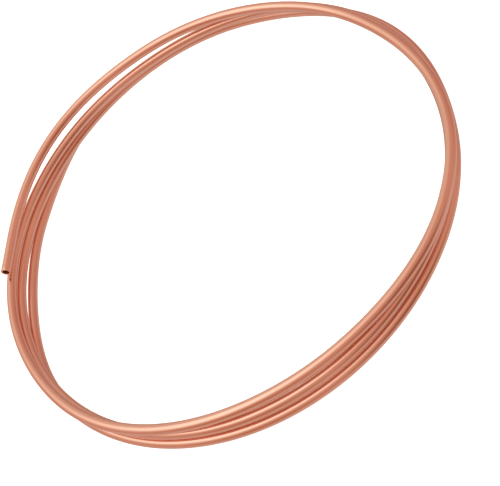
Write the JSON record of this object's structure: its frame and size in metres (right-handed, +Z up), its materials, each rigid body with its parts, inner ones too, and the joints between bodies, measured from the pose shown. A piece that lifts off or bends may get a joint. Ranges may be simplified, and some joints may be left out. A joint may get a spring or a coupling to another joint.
{
  "type": "copper tube coil",
  "caption": "Open coil of soft round copper tube in a few loose turns that lie flat, with two square cut ends for fittings.",
  "frame": {"origin": "middle of the coil at the level of the floor it lies on", "axes": "+Z up, along the coil's axis; -Y towards the side that the picture shows nearest"},
  "size_m": [0.2848, 0.2933, 0.0273],
  "materials": {
    "copper": "drawn copper, satin"
  },
  "bodies": {
    "root": {"copper_tube": "copper"}
  },
  "joints": []
}
